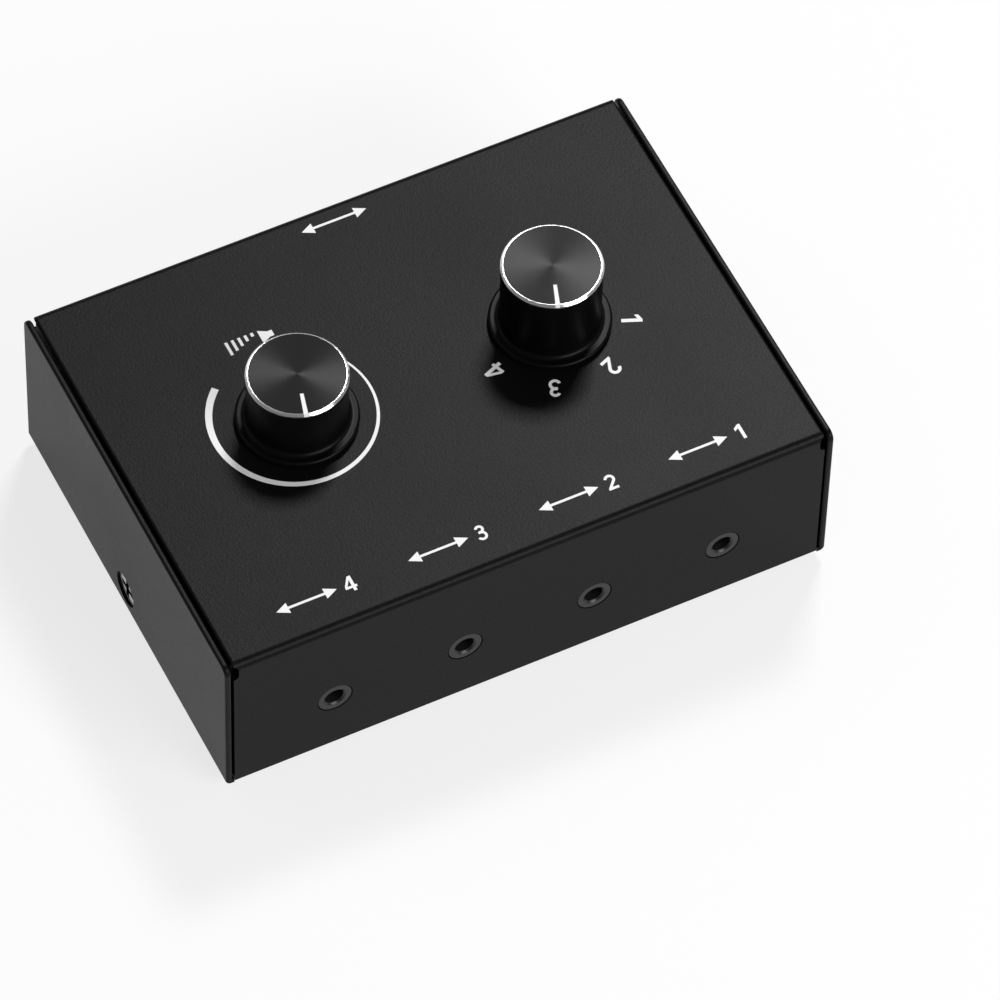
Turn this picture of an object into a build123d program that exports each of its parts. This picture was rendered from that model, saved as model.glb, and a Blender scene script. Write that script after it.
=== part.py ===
"""Passive speaker selector switch: one in/out jack, four switched jacks, volume and selector knobs.

Frame: X runs along the front wall, Y from front to back, Z up. The origin is the middle of the
footprint at table height, so the rubber feet stand on Z = 0. All sizes are millimetres.
"""

import os
from math import cos, radians, sin

from build123d import *

os.makedirs("parts", exist_ok=True)

# ---------------------------------------------------------------- overall size
BOX_WIDTH = 118.6
BOX_DEPTH = 84.6
BOX_HEIGHT = 35.4
FOOT_HEIGHT = 2.0
SHEET = 1.2

TRAY_Z = FOOT_HEIGHT
TOP_Z = TRAY_Z + BOX_HEIGHT
CEILING_Z = TOP_Z - SHEET

# ---------------------------------------------------------------- base tray
PLATE_DROP = 0.3  # side plates stop this far below the cover's top
PLATE_CORNER = 1.8
TRAY_BEND = 1.0
EDGE_ROUND = 0.45
TIGHT_BEND = 0.1  # inner radius of a bend whose outer radius is below the sheet thickness

# ---------------------------------------------------------------- cover
SEAM = 0.5  # gap between a side plate and the cover
COVER_SETBACK = 0.2  # front and back walls stand this far inside the plates' edges
COVER_BEND = 1.5
SIDE_BEND = 0.5
COVER_CORNER = 1.0
RELIEF_WIDTH = 1.0  # slot at each end of the front and back bends, in from the cover's side
RELIEF_TOP = 0.6
RELIEF_DROP = 4.0
COVER_LIFT = 0.4  # cover's lower edge above the tray's underside
FLOOR_GAP = 0.15  # between the cover's side edges and the floor's narrow ends under the seams
SIDE_WALL_LIFT = 1.6

COVER_WIDTH = BOX_WIDTH - 2 * (SHEET + SEAM)
COVER_DEPTH = BOX_DEPTH - 2 * COVER_SETBACK
WALL_FACE_Y = COVER_DEPTH / 2
WALL_INNER_Y = WALL_FACE_Y - SHEET
SIDE_INNER_X = COVER_WIDTH / 2 - SHEET
FLOOR_HALF_DEPTH = WALL_INNER_Y - 0.3

# ---------------------------------------------------------------- side screws and clinch nuts
SCREW_Z = TRAY_Z + 5.6
SCREW_HEAD_D = 6.8
HEAD_SINK = 0.45  # head's face below the plate's outer face
SCREW_SHANK_D = 3.4
SCREW_LENGTH = 6.0
COUNTERSINK_D = 7.0
RECESS_DEPTH = 0.6
RECESS_SPAN = 4.4
RECESS_WIDTH = 1.2
NUT_COLLAR_D = 7.0
NUT_COLLAR = 2.0
NUT_SHANK_D = 5.0
NUT_BORE_D = 3.5

# ---------------------------------------------------------------- feet
FOOT_D = 9.0
FOOT_X = 48.0
FOOT_Y = 32.0

# ---------------------------------------------------------------- jacks
JACK_PITCH = 25.4
JACK_Z = TRAY_Z + 13.9
JACK_HOLE_D = 6.8
NOSE_D = 6.4
NOSE_SHORT = 0.1  # nose face behind the wall's outer face
BODY_GAP = 0.2  # jack body behind the wall's inner face
JACK_BODY_WIDTH = 8.0
JACK_BODY_HEIGHT = 5.4
JACK_DEPTH = 15.0  # nose face to back of body
PLUG_BORE_D = 3.6
LEAD_IN = 0.35
SPRING_THICK = 0.3
SPRING_WIDE = 1.0
SPRING_GAP = 0.1
SPRING_REACH = PLUG_BORE_D / 2 + SPRING_GAP  # inner side of each contact spring, from the axis
POCKET_MOUTH = 0.5  # how far each spring's pocket breaks into the bore
# tip, ring and sleeve: clock angle in the nose face, then the depths behind it at which the leg
# starts, the leg ends and the spring ends
CONTACTS = ((180, 8.6, 9.6, 13.0), (0, 5.0, 6.0, 8.4), (90, 2.4, 3.4, 5.6))

# ---------------------------------------------------------------- circuit board
BOARD_WIDTH = 104.0
BOARD_DEPTH = 80.4
BOARD_THICK = 1.6
BOARD_Z = JACK_Z + JACK_BODY_HEIGHT / 2
BOARD_TOP_Z = BOARD_Z + BOARD_THICK
PIN_HOLE_D = 1.4
PIN_PROUD = 1.0

# ---------------------------------------------------------------- controls on the top panel
CONTROL_X = 24.85
CONTROL_Y = 1.3
SHAFT_D = 6.0
SHAFT_CLEARANCE = 0.05
SHAFT_FLAT = 1.5  # depth of the flat on each shaft
BUSHING_D = 7.0
BUSHING_RISE = 3.2  # above the top panel
PANEL_HOLE_D = 9.6
WASHER_D = 13.0
WASHER_THICK = 0.6
NUT_FLATS = 10.0
NUT_THICK = 2.0
THREAD_GAP = 0.1

# ---------------------------------------------------------------- volume potentiometer
POT_D = 16.6
POT_WALL = 0.9
POT_PLATE = 1.0
POT_STANDOFF = 0.8  # case above the board
TRACK_THICK = 1.0
TRACK_D = 14.6
WIPER_D = 13.0
WIPER_THICK = 1.2
WIPER_GAP = 0.25
POT_PIN_PITCH = 5.0
POT_TAB = (6.6, 2.4)  # reach and width of the stop tab on the wiper carrier
POT_LUG = (5.2, 5.0)  # inner radius and width of the stop lug, at the back of the case

# ---------------------------------------------------------------- selector rotary switch
SWITCH_D = 22.0
SWITCH_WALL = 1.6
SWITCH_PLATE = 1.2
SWITCH_STANDOFF = 0.8
WAFER_THICK = 1.6
STEP_ANGLE = 45.0
POSITIONS = 4
ROTOR_D = 12.0
INDEX_D = 18.0
ROTOR_THICK = 4.0
BALL_D = 3.0
NOTCH_DEPTH = 0.5
BALL_BORE_D = 3.1
SPRING_D = 2.4
SPRING_WIRE = 0.35
SPRING_TURNS = 5
SWITCH_TAB = (8.6, 2.0)  # reach and width of the stop tab on the rotor
SWITCH_LUG = (6.8, 2.0)  # inner radius and width of the two stop lugs in the case
STOP_HEIGHT = 2.0
STOP_CLEAR_ANGLE = 19.0  # between the tab and a lug when they meet

# ---------------------------------------------------------------- knobs
KNOB_D = 18.2
FLANGE_D = 22.2
FLANGE_THICK = 1.1
FLANGE_BLEND = 0.9
FLANGE_ROUND = 0.5
KNOB_GAP = 0.4  # knob above the top panel
KNOB_WALL = 1.8
NUT_ROOM = 3.9  # height of the hollow that clears the nut
HUB_D = 11.0
KNOB_ROOF = 1.6  # from the knob's inside to its disc
SHAFT_END_GAP = 0.4
CAP_D = 18.4
CAP_THICK = 0.65
CAP_CHAMFER = 0.4
POINTER_WIDTH = 0.86
POINTER_INNER_WIDTH = 0.64
POINTER_INNER_R = 4.4
POINTER_DEPTH = 0.5
VOLUME_RISE = 13.3  # top of each knob above the top panel
SELECTOR_RISE = 16.7
VOLUME_ANGLE = -18.0  # pointers at rest, from the front towards the right
SELECTOR_ANGLE = -STEP_ANGLE / 2
POINTER_LEAD = 2.5  # each pointer's painted line from its shaft's own angle


def save(builder, name):
    """Label a finished piece and write it as its own STEP file."""
    builder.part.label = name
    export_step(builder.part, f"parts/{name}.step")


def rounded_sheet(width, height, bend):
    """Flat sketch, width across and height along Y from 0, its two corners at Y = 0 rounded."""
    with BuildSketch() as outline:
        with Locations((0, height / 2)):
            Rectangle(width, height)
        fillet(outline.vertices().group_by(Axis.Y)[0], bend)
    return outline.sketch


def channel(width, height, bend):
    """U section of bent sheet: its web lies on Y = 0 and its legs run to Y = height."""
    hollow = rounded_sheet(width - 2 * SHEET, height, max(bend - SHEET, TIGHT_BEND))
    with BuildSketch() as section:
        add(rounded_sheet(width, height, bend))
        add(hollow.moved(Location((0, SHEET))), mode=Mode.SUBTRACT)
    return section.sketch


# ---------------------------------------------------------------- base tray: floor and side plates
plate_height = BOX_HEIGHT - PLATE_DROP
floor_width = COVER_WIDTH + 2 * FLOOR_GAP
floor_margin = BOX_DEPTH / 2 - FLOOR_HALF_DEPTH

with BuildPart() as base_tray:
    with BuildSketch(Plane(origin=(0, 0, TRAY_Z), x_dir=(1, 0, 0), z_dir=(0, -1, 0))):
        add(channel(BOX_WIDTH, plate_height, TRAY_BEND))
    extrude(amount=BOX_DEPTH / 2, both=True)
    fillet(base_tray.edges().filter_by(Axis.X).group_by(Axis.Z)[-1], PLATE_CORNER)
    plate_faces = base_tray.faces().filter_by(Axis.X)
    rim_edges = ShapeList(edge for face in plate_faces for edge in face.edges())
    fillet(rim_edges.filter_by_position(Axis.Z, TRAY_Z + SHEET + 0.5, TOP_Z), EDGE_ROUND)
    # the floor stops inside the cover's front and back walls, and runs on under the seams
    with BuildSketch(Plane.XY.offset(TRAY_Z - 1)):
        for side in (-1, 1):
            with Locations((0, side * (FLOOR_HALF_DEPTH + floor_margin / 2))):
                Rectangle(floor_width, floor_margin + 0.01)
    extrude(amount=SHEET + 1.01, mode=Mode.SUBTRACT)
    # counterbored and countersunk hole in each side plate
    for side in (-1, 1):
        face = Plane(origin=(side * BOX_WIDTH / 2, 0, SCREW_Z), x_dir=(0, 1, 0), z_dir=(side, 0, 0))
        with BuildSketch(face):
            Circle(COUNTERSINK_D / 2)
        extrude(amount=-HEAD_SINK, mode=Mode.SUBTRACT)
        with BuildSketch(face.offset(-HEAD_SINK)):
            Circle(COUNTERSINK_D / 2)
        extrude(amount=HEAD_SINK - SHEET, taper=45, mode=Mode.SUBTRACT)
save(base_tray, "base_tray")

# ---------------------------------------------------------------- cover: top and four walls
cover_height = BOX_HEIGHT - COVER_LIFT
lengthwise = Plane(origin=(0, 0, TOP_Z), x_dir=(0, 1, 0), z_dir=(-1, 0, 0))
crosswise = Plane(origin=(0, 0, TOP_Z), x_dir=(1, 0, 0), z_dir=(0, 1, 0))
side_wall_height = BOX_HEIGHT - SIDE_WALL_LIFT
side_wall_half = WALL_INNER_Y - 0.3
jack_xs = [JACK_PITCH * (n - 1.5) for n in range(4)]

with BuildPart() as cover_shell:
    with BuildSketch(lengthwise):
        add(channel(COVER_DEPTH, cover_height, COVER_BEND))
    extrude(amount=COVER_WIDTH / 2, both=True)
    with BuildSketch(crosswise):
        add(rounded_sheet(COVER_WIDTH, cover_height, SIDE_BEND))
    extrude(amount=COVER_DEPTH / 2, both=True, mode=Mode.INTERSECT)
    with BuildSketch(crosswise):
        add(channel(COVER_WIDTH, side_wall_height, SIDE_BEND))
    extrude(amount=side_wall_half, both=True)
    # the lid's corners are rounded down to the relief slots
    with BuildSketch(Plane.XY.offset(TOP_Z)):
        Rectangle(COVER_WIDTH + 1, COVER_DEPTH + 1)
        RectangleRounded(COVER_WIDTH, COVER_DEPTH, COVER_CORNER, mode=Mode.SUBTRACT)
    extrude(amount=-(RELIEF_TOP + RELIEF_WIDTH), mode=Mode.SUBTRACT)
    for outward in (-1, 1):
        slot_origin = (0, outward * side_wall_half, TOP_Z - (RELIEF_TOP + RELIEF_DROP) / 2)
        with BuildSketch(Plane(origin=slot_origin, x_dir=(1, 0, 0), z_dir=(0, outward, 0))):
            with GridLocations(COVER_WIDTH, 0, 2, 1):
                SlotOverall(RELIEF_DROP - RELIEF_TOP, 2 * RELIEF_WIDTH, rotation=90)
        extrude(amount=COVER_DEPTH / 2 - side_wall_half, mode=Mode.SUBTRACT)
    # jack holes
    with BuildSketch(Plane(origin=(0, -WALL_FACE_Y, JACK_Z), x_dir=(1, 0, 0), z_dir=(0, -1, 0))):
        with Locations([(x, 0) for x in jack_xs]):
            Circle(JACK_HOLE_D / 2)
    extrude(amount=-SHEET, mode=Mode.SUBTRACT)
    with BuildSketch(Plane(origin=(0, WALL_FACE_Y, JACK_Z), x_dir=(-1, 0, 0), z_dir=(0, 1, 0))):
        Circle(JACK_HOLE_D / 2)
    extrude(amount=-SHEET, mode=Mode.SUBTRACT)
    # bushing holes, wide enough to slide the board forward into the jack holes
    with BuildSketch(Plane.XY.offset(CEILING_Z)):
        with Locations((-CONTROL_X, CONTROL_Y), (CONTROL_X, CONTROL_Y)):
            Circle(PANEL_HOLE_D / 2)
    extrude(amount=SHEET, mode=Mode.SUBTRACT)
    # clinch nut holes
    with BuildSketch(Plane.YZ.offset(-BOX_WIDTH / 2)):
        with Locations((0, SCREW_Z)):
            Circle(NUT_SHANK_D / 2)
    extrude(amount=BOX_WIDTH, mode=Mode.SUBTRACT)
save(cover_shell, "cover_shell")

# ---------------------------------------------------------------- side screws and clinch nuts
with BuildPart() as side_screws:
    for side in (-1, 1):
        head_x = side * (BOX_WIDTH / 2 - HEAD_SINK)
        head = Plane(origin=(head_x, 0, SCREW_Z), x_dir=(0, 1, 0), z_dir=(side, 0, 0))
        with BuildSketch(head):
            Circle(SCREW_HEAD_D / 2)
        extrude(amount=HEAD_SINK - SHEET, taper=45)
        with BuildSketch(head):
            Circle(SCREW_SHANK_D / 2)
        extrude(amount=-SCREW_LENGTH)
        with BuildSketch(head):
            Rectangle(RECESS_SPAN, RECESS_WIDTH)
            Rectangle(RECESS_WIDTH, RECESS_SPAN)
        extrude(amount=-RECESS_DEPTH, taper=8, mode=Mode.SUBTRACT)
save(side_screws, "side_screws")

with BuildPart() as clinch_nuts:
    for side in (-1, 1):
        inside = Plane(origin=(side * SIDE_INNER_X, 0, SCREW_Z), x_dir=(0, 1, 0), z_dir=(-side, 0, 0))
        with BuildSketch(inside):
            Circle(NUT_COLLAR_D / 2)
            Circle(NUT_BORE_D / 2, mode=Mode.SUBTRACT)
        extrude(amount=NUT_COLLAR)
        with BuildSketch(inside):
            Circle(NUT_SHANK_D / 2)
            Circle(NUT_BORE_D / 2, mode=Mode.SUBTRACT)
        extrude(amount=-SHEET)
save(clinch_nuts, "clinch_nuts")

# ---------------------------------------------------------------- rubber feet
with BuildPart() as rubber_feet:
    with BuildSketch(Plane.XY):
        with GridLocations(2 * FOOT_X, 2 * FOOT_Y, 2, 2):
            Circle(FOOT_D / 2)
    extrude(amount=FOOT_HEIGHT)
    fillet(rubber_feet.edges().group_by(Axis.Z)[0], 0.6)
save(rubber_feet, "rubber_feet")


# ---------------------------------------------------------------- jacks
def jack_face(x, outward):
    """Plane on a jack's nose face: Z leaves the box and Y is up. outward is -1 front, 1 back."""
    origin = (x, outward * (WALL_FACE_Y - NOSE_SHORT), JACK_Z)
    return Plane(origin=origin, x_dir=(-outward, 0, 0), z_dir=(0, outward, 0))


def leg_place(clock):
    """Sideways and upright place of a contact's middle, in the nose face."""
    middle_r = SPRING_REACH + SPRING_THICK / 2
    return middle_r * cos(radians(clock)), middle_r * sin(radians(clock))


def jack_housing(face):
    """Black moulded body with a round nose, a through bore and three spring pockets."""
    nose_length = SHEET - NOSE_SHORT + BODY_GAP
    pocket_depth = SPRING_THICK + SPRING_GAP + POCKET_MOUTH
    with BuildPart() as housing:
        with BuildSketch(face.offset(-nose_length)):
            Rectangle(JACK_BODY_WIDTH, JACK_BODY_HEIGHT)
        extrude(amount=-(JACK_DEPTH - nose_length))
        fillet(housing.edges().filter_by(Axis.Y), 0.4)
        with BuildSketch(face):
            Circle(NOSE_D / 2)
        extrude(amount=-nose_length)
        with BuildSketch(face):
            Circle(PLUG_BORE_D / 2)
        extrude(amount=-JACK_DEPTH, mode=Mode.SUBTRACT)
        with BuildSketch(face):
            Circle(PLUG_BORE_D / 2 + LEAD_IN)
        extrude(amount=-LEAD_IN, taper=45, mode=Mode.SUBTRACT)
        for clock, leg_start, leg_end, spring_end in CONTACTS:
            pocket_face = face.offset(SPRING_GAP - leg_start)
            with BuildSketch(pocket_face):
                with Locations(Location((0, 0), clock)):
                    with Locations((SPRING_REACH - POCKET_MOUTH, 0)):
                        pocket_width = SPRING_WIDE + 2 * SPRING_GAP
                        Rectangle(pocket_depth, pocket_width, align=(Align.MIN, Align.CENTER))
            extrude(amount=leg_start - spring_end - 2 * SPRING_GAP, mode=Mode.SUBTRACT)
            with BuildSketch(pocket_face):
                with Locations(leg_place(clock)):
                    slot_width = SPRING_THICK + 2 * SPRING_GAP
                    Rectangle(slot_width, JACK_BODY_HEIGHT, align=(Align.CENTER, Align.MIN))
            extrude(amount=leg_start - leg_end - 2 * SPRING_GAP, mode=Mode.SUBTRACT)
    return housing


def jack_contacts(face):
    """Tip, ring and sleeve springs, each with a leg up through the board."""
    leg_top = JACK_BODY_HEIGHT / 2 + BOARD_THICK + PIN_PROUD
    with BuildPart() as contacts:
        for clock, leg_start, leg_end, spring_end in CONTACTS:
            with BuildSketch(face.offset(-leg_start)):
                with Locations(Location((0, 0), clock)):
                    with Locations((SPRING_REACH, 0)):
                        Rectangle(SPRING_THICK, SPRING_WIDE, align=(Align.MIN, Align.CENTER))
            extrude(amount=leg_start - spring_end)
            with BuildSketch(face.offset(-leg_start)):
                with Locations(leg_place(clock)):
                    leg_length = leg_top - leg_place(clock)[1]
                    Rectangle(SPRING_THICK, leg_length, align=(Align.CENTER, Align.MIN))
            extrude(amount=leg_start - leg_end)
    return contacts


jack_places = {f"front_jack_{n + 1}": jack_face(jack_xs[3 - n], -1) for n in range(4)}
jack_places["rear_jack"] = jack_face(0, 1)
for jack_name, nose_face in jack_places.items():
    save(jack_housing(nose_face), f"{jack_name}_housing")
    save(jack_contacts(nose_face), f"{jack_name}_contacts")

jack_pin_holes = [
    nose_face.from_local_coords((*leg_place(clock), -(leg_start + leg_end) / 2))
    for nose_face in jack_places.values()
    for clock, leg_start, leg_end, _ in CONTACTS
]

# ---------------------------------------------------------------- terminal places under the controls
pot_pins = [
    (-CONTROL_X + POT_PIN_PITCH * column, CONTROL_Y - POT_D / 2 - 1.2 - 2.5 * row)
    for column in (-1, 0, 1)
    for row in (0, 1)
]
switch_pin_r = SWITCH_D / 2 - 2.8
switch_pins = [
    (CONTROL_X + switch_pin_r * cos(radians(a)), CONTROL_Y + switch_pin_r * sin(radians(a)))
    for a in range(0, 360, 30)
]

# ---------------------------------------------------------------- circuit board
with BuildPart() as circuit_board:
    with BuildSketch(Plane.XY.offset(BOARD_Z)) as board_outline:
        RectangleRounded(BOARD_WIDTH, BOARD_DEPTH, 1.5)
        with Locations([(p.X, p.Y) for p in jack_pin_holes] + pot_pins + switch_pins):
            Circle(PIN_HOLE_D / 2, mode=Mode.SUBTRACT)
    extrude(amount=BOARD_THICK)
save(circuit_board, "circuit_board")


# ---------------------------------------------------------------- pieces that both controls share
def bushing(x, plate_thick, round_plate, size):
    """Zinc mounting plate under the top panel with the threaded bushing that the shaft runs in."""
    with BuildPart() as piece:
        with BuildSketch(Plane.XY.offset(CEILING_Z - plate_thick)):
            with Locations((x, CONTROL_Y)):
                if round_plate:
                    Circle(size / 2)
                else:
                    RectangleRounded(size, size, 1.5)
        extrude(amount=plate_thick)
        with BuildSketch(Plane.XY.offset(CEILING_Z)):
            with Locations((x, CONTROL_Y)):
                Circle(BUSHING_D / 2)
        extrude(amount=SHEET + BUSHING_RISE)
        chamfer(piece.edges().group_by(Axis.Z)[-1], 0.3)
        with BuildSketch(Plane.XY.offset(CEILING_Z - plate_thick)):
            with Locations((x, CONTROL_Y)):
                Circle(SHAFT_D / 2 + SHAFT_CLEARANCE)
        extrude(amount=plate_thick + SHEET + BUSHING_RISE, mode=Mode.SUBTRACT)
    return piece


def washer(x):
    """Flat washer that covers the oversize hole in the top panel."""
    with BuildPart() as piece:
        with BuildSketch(Plane.XY.offset(TOP_Z)):
            with Locations((x, CONTROL_Y)):
                Circle(WASHER_D / 2)
                Circle(BUSHING_D / 2 + THREAD_GAP, mode=Mode.SUBTRACT)
        extrude(amount=WASHER_THICK)
    return piece


def panel_nut(x):
    """Thin hexagon nut on the bushing."""
    with BuildPart() as piece:
        with BuildSketch(Plane.XY.offset(TOP_Z + WASHER_THICK)):
            with Locations((x, CONTROL_Y)):
                RegularPolygon(NUT_FLATS / 2, 6, major_radius=False)
                Circle(BUSHING_D / 2 + THREAD_GAP, mode=Mode.SUBTRACT)
        extrude(amount=NUT_THICK)
    return piece


def flatted_circle(radius, flat_depth):
    """D-shaped sketch whose flat faces +Y."""
    with BuildSketch() as outline:
        Circle(radius)
        with Locations((0, radius)):
            Rectangle(2 * radius, 2 * flat_depth, mode=Mode.SUBTRACT)
    return outline.sketch


def shaft(x, angle, bottom_z, flat_z, top_z):
    """Steel shaft, round in its bushing and flatted inside the knob."""
    with BuildPart() as piece:
        with BuildSketch(Plane.XY.offset(bottom_z)):
            with Locations((x, CONTROL_Y)):
                Circle(SHAFT_D / 2)
        extrude(amount=flat_z - bottom_z)
        with BuildSketch(Plane.XY.offset(flat_z)):
            with Locations(Location((x, CONTROL_Y), angle)):
                add(flatted_circle(SHAFT_D / 2, SHAFT_FLAT))
        extrude(amount=top_z - flat_z)
        chamfer(piece.edges().group_by(Axis.Z)[-1], 0.4)
    return piece


save(washer(-CONTROL_X), "volume_pot_washer")
save(washer(CONTROL_X), "selector_switch_washer")
save(panel_nut(-CONTROL_X), "volume_pot_nut")
save(panel_nut(CONTROL_X), "selector_switch_nut")
save(bushing(-CONTROL_X, POT_PLATE, False, POT_D), "volume_pot_bushing")
save(bushing(CONTROL_X, SWITCH_PLATE, True, SWITCH_D), "selector_switch_bushing")

# ---------------------------------------------------------------- knobs
knob_z = TOP_Z + KNOB_GAP
hub_floor_z = knob_z + NUT_ROOM


def knob_body(x, angle, rise):
    """Moulded knob: straight barrel, thin skirt flange, hollow shell and a hub with a D bore."""
    top_z = TOP_Z + rise - CAP_THICK
    with BuildPart() as piece:
        with BuildSketch(Plane.XY.offset(knob_z)):
            with Locations((x, CONTROL_Y)):
                Circle(FLANGE_D / 2)
        extrude(amount=FLANGE_THICK)
        with BuildSketch(Plane.XY.offset(knob_z)):
            with Locations((x, CONTROL_Y)):
                Circle(KNOB_D / 2)
        extrude(amount=top_z - knob_z)
        circles = piece.edges().filter_by(GeomType.CIRCLE)
        inner_corner = circles.filter_by_position(Axis.Z, knob_z + FLANGE_THICK, knob_z + FLANGE_THICK)
        fillet(inner_corner.sort_by(SortBy.RADIUS)[0], FLANGE_BLEND)
        rim = piece.edges().filter_by(GeomType.CIRCLE).sort_by(SortBy.RADIUS)[-2:]
        fillet(rim, FLANGE_ROUND)
        with BuildSketch(Plane.XY.offset(knob_z)):
            with Locations((x, CONTROL_Y)):
                Circle(KNOB_D / 2 - KNOB_WALL)
        extrude(amount=NUT_ROOM, mode=Mode.SUBTRACT)
        with BuildSketch(Plane.XY.offset(hub_floor_z)):
            with Locations((x, CONTROL_Y)):
                Circle(KNOB_D / 2 - KNOB_WALL)
                Circle(HUB_D / 2, mode=Mode.SUBTRACT)
        extrude(amount=top_z - KNOB_ROOF - hub_floor_z, mode=Mode.SUBTRACT)
        with BuildSketch(Plane.XY.offset(hub_floor_z)):
            with Locations(Location((x, CONTROL_Y), angle)):
                add(flatted_circle(SHAFT_D / 2 + SHAFT_CLEARANCE, SHAFT_FLAT))
        extrude(amount=top_z - KNOB_ROOF - hub_floor_z, mode=Mode.SUBTRACT)
    return piece


def knob_disc(x, angle, rise):
    """Aluminium disc with a bright chamfer, and the paint that fills the groove in its face and rim."""
    with BuildPart() as blank:
        with BuildSketch(Plane.XY.offset(TOP_Z + rise - CAP_THICK)):
            with Locations((x, CONTROL_Y)):
                Circle(CAP_D / 2)
        extrude(amount=CAP_THICK)
        chamfer(blank.edges().group_by(Axis.Z)[-1], CAP_CHAMFER)
    # groove from mid radius out through the rim, widening a little on its way
    groove_outline = [
        (POINTER_INNER_R, -POINTER_INNER_WIDTH / 2),
        (CAP_D / 2 + 1, -POINTER_WIDTH / 2),
        (CAP_D / 2 + 1, POINTER_WIDTH / 2),
        (POINTER_INNER_R, POINTER_INNER_WIDTH / 2),
    ]
    with BuildPart() as groove:
        with BuildSketch(Plane.XY.offset(TOP_Z + rise - POINTER_DEPTH)):
            with Locations(Location((x, CONTROL_Y), angle + POINTER_LEAD - 90)):
                Polygon(*groove_outline, align=None)
        extrude(amount=CAP_THICK)
    with BuildPart() as cap:
        add(blank.part)
        add(groove.part, mode=Mode.SUBTRACT)
    with BuildPart() as pointer:
        add(blank.part)
        add(groove.part, mode=Mode.INTERSECT)
    return cap, pointer


for control, x, angle, rise in (
    ("volume", -CONTROL_X, VOLUME_ANGLE, VOLUME_RISE),
    ("selector", CONTROL_X, SELECTOR_ANGLE, SELECTOR_RISE),
):
    knob_cap, knob_pointer = knob_disc(x, angle, rise)
    save(knob_body(x, angle, rise), f"{control}_knob_body")
    save(knob_cap, f"{control}_knob_cap")
    save(knob_pointer, f"{control}_knob_pointer")

# ---------------------------------------------------------------- volume potentiometer
pot_floor_z = BOARD_TOP_Z + POT_STANDOFF
pot_roof_z = CEILING_Z - POT_PLATE
pot_gang = (pot_roof_z - pot_floor_z) / 2
track_zs = [pot_floor_z + POT_WALL + gang * pot_gang for gang in (0, 1)]
wiper_zs = [z + TRACK_THICK + WIPER_GAP for z in track_zs]
pot_stop_z = wiper_zs[1] + WIPER_THICK
volume_shaft_top = TOP_Z + VOLUME_RISE - CAP_THICK - KNOB_ROOF - SHAFT_END_GAP

with BuildPart() as volume_pot_case:
    with BuildSketch(Plane.XY.offset(pot_floor_z)):
        with Locations((-CONTROL_X, CONTROL_Y)):
            Circle(POT_D / 2)
        with Locations((-CONTROL_X, CONTROL_Y - POT_D / 4)):
            Rectangle(POT_D * 0.8, POT_D / 2)
    extrude(amount=pot_roof_z - pot_floor_z)
    with BuildSketch(Plane.XY.offset(pot_floor_z + POT_WALL)):
        with Locations((-CONTROL_X, CONTROL_Y)):
            Circle(TRACK_D / 2)
    extrude(amount=pot_roof_z - pot_floor_z - POT_WALL, mode=Mode.SUBTRACT)
    # fixed stop, straight behind the shaft
    lug_r, lug_width = POT_LUG
    with BuildSketch(Plane.XY.offset(pot_stop_z + WIPER_GAP)):
        with Locations((-CONTROL_X, CONTROL_Y + lug_r)):
            Rectangle(lug_width, TRACK_D / 2 - lug_r + 0.4, align=(Align.CENTER, Align.MIN))
    extrude(amount=pot_roof_z - pot_stop_z - WIPER_GAP)
save(volume_pot_case, "volume_pot_case")

with BuildPart() as volume_pot_tracks:
    for track_z in track_zs:
        with BuildSketch(Plane.XY.offset(track_z)):
            with Locations((-CONTROL_X, CONTROL_Y)):
                Circle(TRACK_D / 2)
                Circle(SHAFT_D / 2 + 0.3, mode=Mode.SUBTRACT)
        extrude(amount=TRACK_THICK)
save(volume_pot_tracks, "volume_pot_tracks")

with BuildPart() as volume_pot_wipers:
    for wiper_z in wiper_zs:
        with BuildSketch(Plane.XY.offset(wiper_z)):
            with Locations((-CONTROL_X, CONTROL_Y)):
                Circle(WIPER_D / 2)
                Circle(SHAFT_D / 2, mode=Mode.SUBTRACT)
        extrude(amount=WIPER_THICK)
    # stop tab on the upper carrier, in line with the knob's pointer
    with BuildSketch(Plane.XY.offset(pot_stop_z)):
        with Locations(Location((-CONTROL_X, CONTROL_Y), VOLUME_ANGLE - 90)):
            Circle(SHAFT_D / 2 + 1.2)
            Rectangle(*POT_TAB, align=(Align.MIN, Align.CENTER))
            Circle(SHAFT_D / 2, mode=Mode.SUBTRACT)
    extrude(amount=STOP_HEIGHT)
save(volume_pot_wipers, "volume_pot_wipers")

save(
    shaft(-CONTROL_X, VOLUME_ANGLE, track_zs[0] + 0.3, hub_floor_z, volume_shaft_top),
    "volume_pot_shaft",
)

with BuildPart() as volume_pot_terminals:
    for n, (pin_x, pin_y) in enumerate(pot_pins):
        gang_z = pot_floor_z + 1.5 + (n % 2) * pot_gang
        case_y = CONTROL_Y - POT_D / 2
        with BuildSketch(Plane.XY.offset(gang_z)):
            with Locations((pin_x, case_y)):
                Rectangle(1.0, case_y - pin_y + 0.2, align=(Align.CENTER, Align.MAX))
        extrude(amount=0.4)
        with BuildSketch(Plane.XY.offset(BOARD_Z - PIN_PROUD)):
            with Locations((pin_x, pin_y)):
                Rectangle(1.0, 0.4)
        extrude(amount=gang_z + 0.4 - BOARD_Z + PIN_PROUD)
save(volume_pot_terminals, "volume_pot_terminals")

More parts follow.
